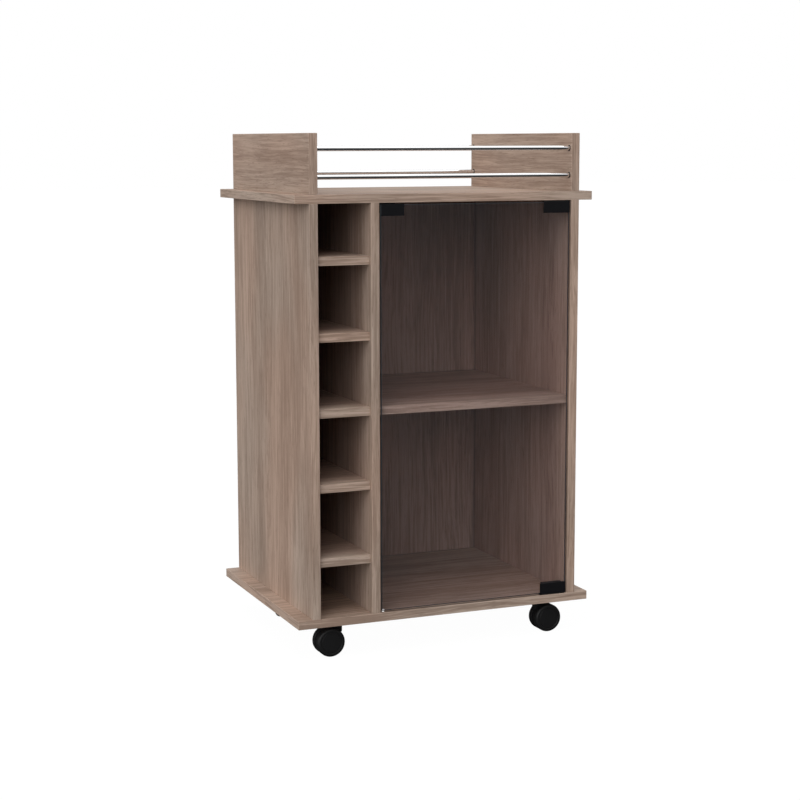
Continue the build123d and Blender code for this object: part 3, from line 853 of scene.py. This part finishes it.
def turned_shape(outline: Outline, axis: Vector, centre: Vector, steps: int) -> Shape:
    """Spins an outline full round an axis.

    Args:
        outline: radius and place along the axis of each point. It starts and ends on the axis.
        axis: the axis, a unit vector.
        centre: where along the axis 0 lies.
        steps: how many faces go round.

    Returns:
        The closed shape with smooth faces.
    """
    mesh = bmesh.new()
    outwards = axis.orthogonal().normalized()
    spots = [mesh.verts.new(centre + axis * along + outwards * radius) for radius, along in outline]
    edges = [mesh.edges.new(pair) for pair in zip(spots, spots[1:])]
    bmesh.ops.spin(
        mesh, geom=spots + edges, cent=centre, axis=axis, angle=2 * math.pi, steps=steps, use_merge=True,
    )
    bmesh.ops.remove_doubles(mesh, verts=mesh.verts, dist=MERGE_DISTANCE)
    bmesh.ops.recalc_face_normals(mesh, faces=mesh.faces)
    for face in mesh.faces:
        face.smooth = True
    return mesh


def quarter_round(radius: float, end: float, rounding: float, steps: int) -> list[tuple[float, float]]:
    """Draws the rounding between a turned shape's side and its end.

    Args:
        radius: the shape's radius.
        end: where its end is along the axis.
        rounding: how far the rounding reaches.
        steps: how many faces it has.

    Returns:
        Radius and place along the axis of each point.
    """
    middle, low = radius - rounding, end - rounding
    turns = [math.pi / 2 * step / steps for step in range(steps + 1)]
    return [(middle + rounding * math.cos(turn), low + rounding * math.sin(turn)) for turn in turns]


def sharpen(mesh: Shape, degrees: float) -> None:
    """Marks the edges that turn by more than an angle as sharp, and smooths the rest.

    Args:
        mesh: the shape.
        degrees: the angle.
    """
    for face in mesh.faces:
        face.smooth = True
    for edge in mesh.edges:
        edge.smooth = len(edge.link_faces) == 2 and edge.calc_face_angle(0.0) < math.radians(degrees)


def round_edges(mesh: Shape, rounding: float, segments: int) -> None:
    """Rounds every edge of a shape.

    Args:
        mesh: the shape.
        rounding: how far the rounding reaches.
        segments: how many faces each rounding has.
    """
    bmesh.ops.bevel(
        mesh, geom=list(mesh.edges), offset=rounding, affect="EDGES", segments=segments, profile=0.5,
        material=-1,
    )


def block_shape(low: Vector, high: Vector, rounding: float, segments: int) -> Shape:
    """Makes a block with rounded edges.

    Args:
        low: its lowest corner.
        high: its highest corner.
        rounding: how far the rounding reaches.
        segments: how many faces each rounding has.

    Returns:
        The shape.
    """
    mesh = bmesh.new()
    bmesh.ops.create_cube(mesh, size=1.0)
    bmesh.ops.scale(mesh, vec=high - low, verts=mesh.verts)
    bmesh.ops.translate(mesh, vec=(low + high) / 2, verts=mesh.verts)
    round_edges(mesh, rounding, segments)
    bmesh.ops.recalc_face_normals(mesh, faces=mesh.faces)
    return mesh


def folded_shape(outline: Outline, left: float, right: float, rounding: float,
                 segments: int) -> Shape:
    """Draws out a cross-section along the width and rounds its edges.

    Args:
        outline: depth and height of each corner of the cross-section.
        left: where it starts.
        right: where it ends.
        rounding: how far the rounding reaches.
        segments: how many faces each rounding has.

    Returns:
        The shape.
    """
    mesh = bmesh.new()
    section = mesh.faces.new([mesh.verts.new((left, y, z)) for y, z in outline])
    drawn = bmesh.ops.extrude_face_region(mesh, geom=[section])
    far = [item for item in drawn["geom"] if isinstance(item, bmesh.types.BMVert)]
    bmesh.ops.translate(mesh, vec=(right - left, 0.0, 0.0), verts=far)
    bmesh.ops.recalc_face_normals(mesh, faces=mesh.faces)
    round_edges(mesh, rounding, segments)
    return mesh


def joined(parts: Iterable[Shape]) -> Shape:
    """Puts several shapes together in one bmesh.

    Args:
        parts: the shapes. They are freed.

    Returns:
        One bmesh with all of them.
    """
    whole = bmesh.new()
    for part in parts:
        carrier = bpy.data.meshes.new("carrier")
        part.to_mesh(carrier)
        part.free()
        whole.from_mesh(carrier)
        bpy.data.meshes.remove(carrier)
    return whole


# ---- Boards ----


@dataclass(frozen=True)
class Board:
    """How one board's print lies."""

    node: str
    grain: Axis
    end_grain: Axis


@dataclass
class Carcass:
    """The boards, the bottle shelves and the back, which keep their CAD shapes."""

    finishes: Finishes
    shelf_count: int = 5
    print_step: tuple[float, float, float] = (0.0, 0.173, 1.31)
    upright_contrast: float = 1.15
    level_contrast: float = 2.1
    # Painted shade: the darker tint of the boards inside the cabinet, and a lighter one for the base.
    inside_painted_tint: Colour = (0.80, 0.75, 0.76)
    floor_painted_tint: Colour = (0.91, 0.90, 0.89)

    def boards(self) -> list[Board]:
        """Lists every printed board.

        Returns:
            The boards, from the sides to the shelves.
        """
        upright = ("left_side_panel", "right_side_panel", "divider_panel")
        level = ["base_panel", "top_panel", "middle_shelf"]
        level += [f"bottle_shelf_{number + 1}" for number in range(self.shelf_count)]
        gallery = ("gallery_panel_left", "gallery_panel_right")
        found = [Board(node, Axis.HEIGHT, Axis.DEPTH) for node in upright]
        found += [Board(node, Axis.WIDTH, Axis.DEPTH) for node in level]
        return found + [Board(node, Axis.DEPTH, Axis.HEIGHT) for node in gallery]

    def build(self) -> None:
        """Dresses every board and the back."""
        for index, board in enumerate(self.boards()):
            shift = tuple(part * (index + 1) for part in self.print_step)
            contrast = self.level_contrast if board.grain is Axis.WIDTH else self.upright_contrast
            tone = self.floor_painted_tint if board.node == "base_panel" else self.inside_painted_tint
            finish = OakLaminate(
                "oak_" + board.node, board.grain, board.end_grain, shift, contrast=contrast, inside_painted_tint=tone,
            )
            dress(board.node, self.finishes.get(finish))
        dress("back_panel", self.finishes.get(PrintedHardboard()))


def dress(node: str, material: Material) -> None:
    """Gives a CAD node a new material in its slots.

    Args:
        node: the CAD node.
        material: the material.
    """
    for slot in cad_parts[node].material_slots:
        slot.material = material
    LOG.info("%s: dressed in %s", node, material.name)


# ---- Gallery ----


@dataclass
class Gallery:
    """The four chrome rails over the tray and the sockets that hold them."""

    finishes: Finishes
    rail_steps: int = 64
    rail_end_chamfer: float = 0.5 * MM
    bore_radius: float = 4.05 * MM
    sleeve_radius: float = 5.05 * MM
    flange_radius: float = 5.2 * MM
    flange_thickness: float = 0.8 * MM
    bore_chamfer: float = 0.25 * MM
    rim_rounding: float = 0.35 * MM
    rim_flat: float = 0.1 * MM
    rail_sharp_turn: float = 30.0
    socket_sharp_turn: float = 40.0

    def build_rail(self, row: str, level: Level) -> Piece:
        """Builds one rail.

        Args:
            row: front or rear.
            level: its level.

        Returns:
            The rail.
        """
        node = f"{row}_rail_{level.value}"
        low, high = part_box(node)
        centre = Vector((low.x, (low.y + high.y) / 2, (low.z + high.z) / 2))
        length = high.x - low.x
        radius = (high.z - low.z) / 2
        cut = self.rail_end_chamfer
        outline = (
            (0.0, 0.0), (radius - cut, 0.0), (radius, cut), (radius, length / 2),
            (radius, length - cut), (radius - cut, length), (0.0, length),
        )
        mesh = turned_shape(outline, Axis.WIDTH.value, centre, self.rail_steps)
        sharpen(mesh, self.rail_sharp_turn)
        return finish_piece(mesh, "chrome_" + node, [self.finishes.get(CHROME)], "cabinet", [node])

    def socket_outline(self, length: float) -> list[tuple[float, float]]:
        """Draws a socket's section, from its bore round the flange to the sleeve's end.

        Args:
            length: from the flange's face to the sleeve's end.

        Returns:
            Radius and place along the axis of each point.
        """
        bore, flange, chamfer = self.bore_radius, self.flange_radius, self.bore_chamfer
        points = [(bore, length), (bore, chamfer), (bore + chamfer, 0.0), (flange - self.rim_rounding, 0.0)]
        points += [(flange - self.rim_flat, self.rim_flat), (flange, self.rim_rounding)]
        points += [(flange, self.flange_thickness), (self.sleeve_radius, self.flange_thickness)]
        return points + [(self.sleeve_radius, length), (bore, length)]

    def build_sockets(self, side: str) -> Piece:
        """Builds the four sockets of one gallery board.

        Args:
            side: left or right.

        Returns:
            The sockets, as one piece.
        """
        node = "rail_sockets_" + side
        low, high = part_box(node)
        inwards = Axis.WIDTH.value if side == "right" else -Axis.WIDTH.value
        face = low.x if side == "right" else high.x
        outline = self.socket_outline(high.x - low.x)
        rings = []
        for row in ("front", "rear"):
            for level in Level:
                rail_low, rail_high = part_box(f"{row}_rail_{level.value}")
                middle = (rail_low + rail_high) / 2
                spot = Vector((face, middle.y, middle.z))
                rings.append(turned_shape(outline, inwards, spot, self.rail_steps))
        mesh = joined(rings)
        sharpen(mesh, self.socket_sharp_turn)
        return finish_piece(mesh, "sockets_" + side, [self.finishes.get(BLACK_PLASTIC)], "cabinet", [node])

    def build(self) -> None:
        """Builds the rails and their sockets."""
        for row in ("front", "rear"):
            for level in Level:
                self.build_rail(row, level)
        for side in ("left", "right"):
            self.build_sockets(side)


# ---- Door ----


@dataclass
class GlassDoor:
    """The glass with its ground edge, the hinge clips and the strike clip."""

    finishes: Finishes
    edge_rounding: float = 0.9 * MM
    edge_segments: int = 3
    flat_face: float = 0.999
    peg_radius: float = 1.5 * MM
    peg_length: float = 6.0 * MM
    peg_chamfer: float = 0.3 * MM
    dome_share: float = 0.55
    dome_steps: int = 6
    stud_steps: int = 40
    stud_sharp_turn: float = 40.0

    def build_pane(self) -> Piece:
        """Builds the glass.

        Returns:
            The pane, clear on its two faces and ground round its edge.
        """
        low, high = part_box("glass_door")
        mesh = block_shape(low, high, self.edge_rounding, self.edge_segments)
        for face in mesh.faces:
            face.smooth = False
            face.material_index = 0 if abs(face.normal.y) > self.flat_face else 1
        finishes = [self.finishes.get(SmokedGlass()), self.finishes.get(GroundEdge())]
        return finish_piece(mesh, "smoked_glass_pane", finishes, "door", ["glass_door"])

    def build_stud(self) -> Piece:
        """Builds the door stop, a domed stud on a peg.

        Returns:
            The stud.
        """
        low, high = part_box("door_stop_stud")
        radius = (high.x - low.x) / 2
        length = high.z - low.z
        outline = [(0.0, 0.0), (self.peg_radius - self.peg_chamfer, 0.0), (self.peg_radius, self.peg_chamfer)]
        outline += [(self.peg_radius, self.peg_length), (radius, self.peg_length)]
        outline += quarter_round(radius, length, radius * self.dome_share, self.dome_steps)
        outline.append((0.0, length))
        spot = Vector(((low.x + high.x) / 2, (low.y + high.y) / 2, low.z))
        mesh = turned_shape(outline, Axis.HEIGHT.value, spot, self.stud_steps)
        sharpen(mesh, self.stud_sharp_turn)
        nylon = self.finishes.get(GLOWING_WHITE_NYLON)
        return finish_piece(mesh, "door_stop", [nylon], "cabinet", ["door_stop_stud"])

    def build(self) -> None:
        """Builds the pane and the stud and dresses the other fittings."""
        self.build_pane()
        for node in ("hinge_clip_bottom", "hinge_clip_top", "strike_clip", "hinge_set_screws"):
            dress(node, self.finishes.get(BLACK_METAL))
        dress("hinge_pins", self.finishes.get(ZINC))
        dress("hinge_bushings", self.finishes.get(BLACK_PLASTIC))
        dress("hinge_pads", self.finishes.get(PAD_RUBBER))
        self.build_stud()


# ---- Touch latch and fixings ----


@dataclass
class SmallFittings:
    """The touch latch, the shelf pins, the dowels and the screws."""

    finishes: Finishes

    def build(self) -> None:
        """Dresses every small fitting."""
        fittings = {
            BLACK_PLASTIC: ("touch_latch_body", "touch_latch_plunger"),
            ZINC: ("touch_latch_magnet", "touch_latch_spring", "touch_latch_screws", "shelf_pins",
                   "panel_screws", "caster_stems"),
            TurnedBeech(): ("panel_dowels", "bottle_shelf_dowels"),
        }
        for finish, nodes in fittings.items():
            for node in nodes:
                dress(node, self.finishes.get(finish))


# ---- Casters ----


@dataclass
class Caster:
    """One twin-wheel caster.

    The wheel's inner face, rim and hub cap and the arm's fillet list distances in millimetres: the radius, or
    how far inside the edge, and how far from the face.
    """

    finishes: Finishes
    place: str
    wheel_steps: int = 72
    bore_radius: float = 3.05 * MM
    bore_depth: float = 9.0 * MM
    web_thickness: float = 8.0 * MM
    web_radius: float = 22.5 * MM
    web_underside: float = 9.0 * MM
    neck_radius: float = 9.0 * MM
    neck_bottom: float = 51.0 * MM
    arm_bottom: float = 38.5 * MM
    arc_steps: int = 20
    rounding: float = 0.8 * MM
    rounding_segments: int = 3
    bore_chamfer: float = 0.4 * MM
    shoulder: float = 4.0 * MM
    shoulder_steps: int = 6
    wheel_sharp_turn: float = 38.0
    fork_sharp_turn: float = 40.0
    inner_face: Outline = ((6.6, 0.0), (7.2, 0.5), (7.6, 2.6), (19.4, 2.6), (20.0, 0.5), (20.6, 0.0))
    inner_rim: Outline = ((1.0, 0.0), (0.3, 0.3), (0.0, 1.0))
    hub_cap: Outline = (
        (19.2, 0.0), (18.9, 0.3), (18.6, 0.9), (17.8, 0.9), (17.3, 0.4), (15.0, 0.25), (8.0, 0.12),
        (0.0, 0.08),
    )
    arm_fillet: Outline = ((3.0, 0.0), (1.0, 0.9), (0.0, 3.0))

    def middle(self, part: str) -> Vector:
        """Gives the middle of one of the caster's CAD nodes."""
        low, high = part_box(f"caster_{self.place}_{part}")
        return (low + high) / 2

    def wheel_outline(self, radius: float, width: float) -> list[tuple[float, float]]:
        """Draws half the wheel's section, from its bore round the tread to its hub cap.

        Args:
            radius: the tread's radius.
            width: the wheel's width.

        Returns:
            Radius and place along the axle of each point.
        """
        bore, chamfer = self.bore_radius, self.bore_chamfer
        points = [(0.0, self.bore_depth), (bore, self.bore_depth), (bore, chamfer), (bore + chamfer, 0.0)]
        points += [(out * MM, along * MM) for out, along in self.inner_face]
        points += [(radius - inside * MM, along * MM) for inside, along in self.inner_rim]
        points.append((radius, width - self.shoulder - 0.6 * MM))
        points += quarter_round(radius, width, self.shoulder, self.shoulder_steps)
        return points + [(out * MM, width - along * MM) for out, along in self.hub_cap]

    def build_wheel(self, side: str) -> Piece:
        """Builds one wheel.

        Args:
            side: a or b, the two sides of the fork.

        Returns:
            The wheel.
        """
        node = f"caster_{self.place}_wheel_{side}"
        low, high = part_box(node)
        centre = (low + high) / 2
        size = high - low
        axis = Axis.WIDTH.value if size.x < size.y else Axis.DEPTH.value
        width = size.dot(axis)
        outwards = axis if (centre - self.middle("fork")).dot(axis) > 0 else -axis
        start = centre - outwards * width / 2
        mesh = turned_shape(self.wheel_outline(size.z / 2, width), outwards, start, self.wheel_steps)
        sharpen(mesh, self.wheel_sharp_turn)
        body = f"{self.place}_wheel_{side}"
        nylon = self.finishes.get(CASTER_NYLON)
        return finish_piece(mesh, "wheel_" + body, [nylon], body, [node])

    def web_outline(self, trail: float, axle_height: float) -> list[tuple[float, float]]:
        """Draws the web's side view, with the swivel axis at 0 and the axle towards minus.

        Args:
            trail: from the swivel axis to the axle.
            axle_height: the axle's height.

        Returns:
            Depth and height of each point.
        """
        lowest = math.asin((self.web_underside - axle_height) / self.web_radius)
        arm = math.asin((self.arm_bottom - axle_height) / self.web_radius)
        spans = ((math.pi / 2, math.pi - lowest), (lowest, arm))
        steps = self.arc_steps
        turns = [start + (end - start) * step / steps for start, end in spans for step in range(steps + 1)]
        outline = [
            (-trail + self.web_radius * math.cos(turn), axle_height + self.web_radius * math.sin(turn))
            for turn in turns
        ]
        neck = self.neck_radius
        top = self.neck_bottom + self.rounding / 2
        outline += [(neck - inside * MM, self.arm_bottom + up * MM) for inside, up in self.arm_fillet]
        return outline + [(neck, top), (-trail, top)]

    def build_fork(self) -> Piece:
        """Builds the swivelling body: the web between the wheels and its round neck.

        Returns:
            The fork.
        """
        node = f"caster_{self.place}_fork"
        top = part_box(node)[1].z
        swivel, axle = self.middle("socket"), self.middle("axle")
        reach = Vector((axle.x - swivel.x, axle.y - swivel.y, 0.0))
        half = self.web_thickness / 2
        outline = self.web_outline(reach.length, axle.z)
        web = folded_shape(outline, -half, half, self.rounding, self.rounding_segments)
        neck, bottom, cut = self.neck_radius, self.neck_bottom, self.rounding
        section = [(0.0, bottom), (neck - cut, bottom), (neck, bottom + cut), (neck, top - cut)]
        section += [(neck - cut * 0.3, top - cut * 0.3), (neck - cut, top), (0.0, top)]
        cap = turned_shape(section, Axis.HEIGHT.value, Vector((0.0, 0.0, 0.0)), self.wheel_steps)
        mesh = joined([web, cap])
        turn = Vector((0.0, -1.0, 0.0)).rotation_difference(reach).to_matrix()
        bmesh.ops.rotate(mesh, cent=(0.0, 0.0, 0.0), matrix=turn, verts=mesh.verts)
        bmesh.ops.translate(mesh, vec=(swivel.x, swivel.y, 0.0), verts=mesh.verts)
        sharpen(mesh, self.fork_sharp_turn)
        nylon, body = self.finishes.get(CASTER_NYLON), self.place + "_swivel"
        return finish_piece(mesh, "fork_" + self.place, [nylon], body, [node])

    def build(self) -> None:
        """Builds the wheels and the fork and dresses the rest."""
        for side in ("a", "b"):
            self.build_wheel(side)
        self.build_fork()
        prefix = f"caster_{self.place}_"
        dress(prefix + "socket", self.finishes.get(CASTER_SOCKET))
        dress(prefix + "axle", self.finishes.get(AXLE_STEEL))


# ---- Studio ----


def seen_directly(sheet: NodeSheet, path: Node) -> Socket:
    """Tells what the camera sees, itself or through the glass, from what only lights the piece.

    Args:
        sheet: the material's or the world's sheet.
        path: its Light Path node.

    Returns:
        1 for a ray from the camera that has met nothing but glass.
    """
    bounces = sheet.math("ADD", path.outputs["Diffuse Depth"], path.outputs["Glossy Depth"])
    straight = sheet.math("LESS_THAN", bounces, 0.5)
    through = sheet.math("MULTIPLY", path.outputs["Is Transmission Ray"], straight)
    return sheet.math("MAXIMUM", path.outputs["Is Camera Ray"], through)


@dataclass
class Studio:
    """The camera, the lights, the pale surroundings and the floor."""

    lens: float = 80.517
    camera_spot: tuple[float, float, float] = (-1.23788, -2.97965, 0.87488)
    camera_yaw: float = 0.39293
    camera_pitch: float = -0.14349
    camera_roll: float = -0.00173
    fill: float = 0.27
    floor_half: float = 30.0
    floor_colour: Colour = (0.36, 0.36, 0.36)
    floor_glow: float = 0.90
    floor_glow_strength: float = 1.09

    def build_camera(self) -> None:
        """Places the camera in front and to the left, a little above the tray."""
        data = bpy.data.cameras.new("studio_camera")
        data.sensor_width = 36.0
        data.lens = self.lens
        data.clip_end = 200.0
        camera = bpy.data.objects.new("studio_camera", data)
        turn = Euler((math.pi / 2 + self.camera_pitch, 0.0, -self.camera_yaw)).to_matrix()
        turn = turn @ Matrix.Rotation(self.camera_roll, 3, "Z")
        camera.matrix_world = Matrix.Translation(self.camera_spot) @ turn.to_4x4()
        bpy.context.scene.collection.objects.link(camera)
        bpy.context.scene.camera = camera

    def add_sun(self, name: str, direction: Sequence[float], strength: float, spread: float) -> None:
        """Adds a soft lamp that lights everything alike.

        Args:
            name: its name.
            direction: the way its light travels.
            strength: its strength.
            spread: how wide it looks, in degrees.
        """
        data = bpy.data.lights.new(name, "SUN")
        data.energy = strength
        data.angle = math.radians(spread)
        lamp = bpy.data.objects.new(name, data)
        lamp.rotation_euler = Vector(direction).to_track_quat("-Z", "Y").to_euler()
        bpy.context.scene.collection.objects.link(lamp)

    def build_lights(self) -> None:
        """Adds the overhead softbox, the soft front key and the fill from the left."""
        self.add_sun("overhead_softbox", (0.0, 0.08, -1.0), 1.20, 60.0)
        self.add_sun("front_key", (0.30, 0.35, -0.23), 1.62, 55.0)
        self.add_sun("side_fill", (0.15, -0.02, -0.05), 0.52, 50.0)

    def build_surroundings(self) -> None:
        """Builds the pale surroundings, with a dark floor and a bright ceiling in reflections only."""
        world = bpy.data.worlds.new("studio_world")
        bpy.context.scene.world = world
        world.use_nodes = True
        sheet = NodeSheet(world.node_tree)
        path = sheet.add("ShaderNodeLightPath")
        spot = sheet.add("ShaderNodeTexCoord")
        parts = sheet.add("ShaderNodeSeparateXYZ", Vector=spot.outputs["Generated"])
        mirrored = sheet.grey(sheet.span(parts.outputs[2], 0.10, 0.50, 0.04, 0.98))
        fill = (self.fill, self.fill, self.fill * 1.01)
        colour = sheet.mix(path.outputs["Is Glossy Ray"], fill, mirrored)
        colour = sheet.mix(seen_directly(sheet, path), colour, WHITE)
        sheet.give(world.node_tree.nodes["Background"], Color=colour)

    def build_floor(self) -> None:
        """Builds the pale floor, which shows only a light shadow."""
        mesh = bmesh.new()
        bmesh.ops.create_grid(mesh, x_segments=1, y_segments=1, size=self.floor_half)
        data = bpy.data.meshes.new("studio_floor")
        mesh.to_mesh(data)
        mesh.free()
        floor = bpy.data.objects.new("studio_floor", data)
        bpy.context.scene.collection.objects.link(floor)
        floor.visible_glossy = False
        material, sheet, bsdf = new_material("studio_floor")
        sheet.give(bsdf, Base_Color=as_colour(self.floor_colour), Roughness=1.0, Specular_IOR_Level=0.0)
        glow = sheet.add("ShaderNodeEmission", Color=as_colour(WHITE), Strength=self.floor_glow_strength)
        seen = seen_directly(sheet, sheet.add("ShaderNodeLightPath"))
        share = sheet.math("MULTIPLY", seen, self.floor_glow)
        both = sheet.mix_shaders(share, bsdf.outputs["BSDF"], glow.outputs[0])
        sheet.give(material.node_tree.nodes["Material Output"], Surface=both)
        data.materials.append(material)

    def build(self) -> None:
        """Builds the whole studio."""
        bpy.context.scene.view_settings.view_transform = "Standard"
        self.build_camera()
        self.build_lights()
        self.build_surroundings()
        self.build_floor()


def main() -> None:
    """Builds the studio and then the cabinet, sub-assembly by sub-assembly."""
    logging.basicConfig(level=logging.INFO, format="%(message)s")
    Studio().build()
    finishes = Finishes(SharedEffects())
    Carcass(finishes).build()
    Gallery(finishes).build()
    GlassDoor(finishes).build()
    SmallFittings(finishes).build()
    for place in ("front_left", "front_right", "rear_left", "rear_right"):
        Caster(finishes, place).build()


if __name__ == "__main__":
    main()
